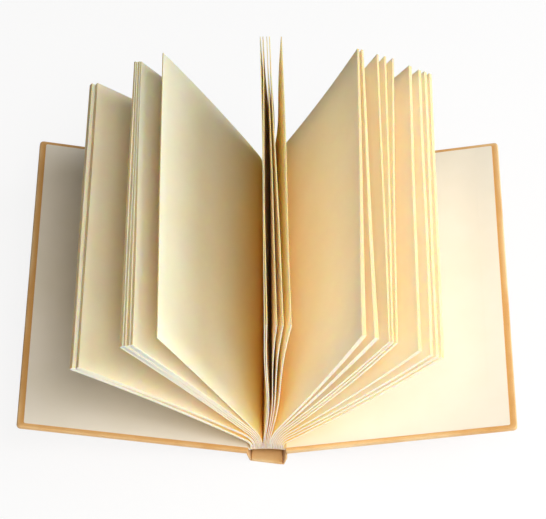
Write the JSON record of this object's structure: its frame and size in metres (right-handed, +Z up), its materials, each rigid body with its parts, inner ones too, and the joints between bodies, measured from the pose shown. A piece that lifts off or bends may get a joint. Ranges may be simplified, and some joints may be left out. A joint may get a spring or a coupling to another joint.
{
  "type": "diary",
  "caption": "Case-bound diary standing open on its spine: tan cloth covers spread in a shallow V, blank cream leaves fanned in layers between them.",
  "frame": {"origin": "middle of the underside of the spine, on the table", "axes": "+X from the front cover to the back cover, +Y from the tail to the head, +Z up from the spine"},
  "size_m": [0.3024, 0.216, 0.1526],
  "materials": {
    "pages": "matt uncoated cream paper",
    "endpaper": "matt off-white paper",
    "cover_cloth": "fine plain-weave tan book cloth",
    "board": "grey board",
    "gauze": "glued gauze and paper"
  },
  "bodies": {
    "book_block": {"text_block": "pages", "spine_lining": "gauze", "spine_card": "board", "spine_cloth": "cover_cloth"},
    "front_cover": {"front_board": "board", "front_cover_cloth": "cover_cloth", "front_pastedown": "endpaper"},
    "back_cover": {"back_board": "board", "back_cover_cloth": "cover_cloth", "back_pastedown": "endpaper"}
  },
  "joints": [
    {"name": "front_cover_hinge", "type": "hinge", "parent": "book_block", "child": "front_cover", "pos_m": [-0.0132, 0, 0.011], "axis": [0, 1, 0], "range_deg": [-15, 29]},
    {"name": "back_cover_hinge", "type": "hinge", "parent": "book_block", "child": "back_cover", "pos_m": [0.0132, 0, 0.011], "axis": [0, -1, 0], "range_deg": [-15, 34]}
  ]
}
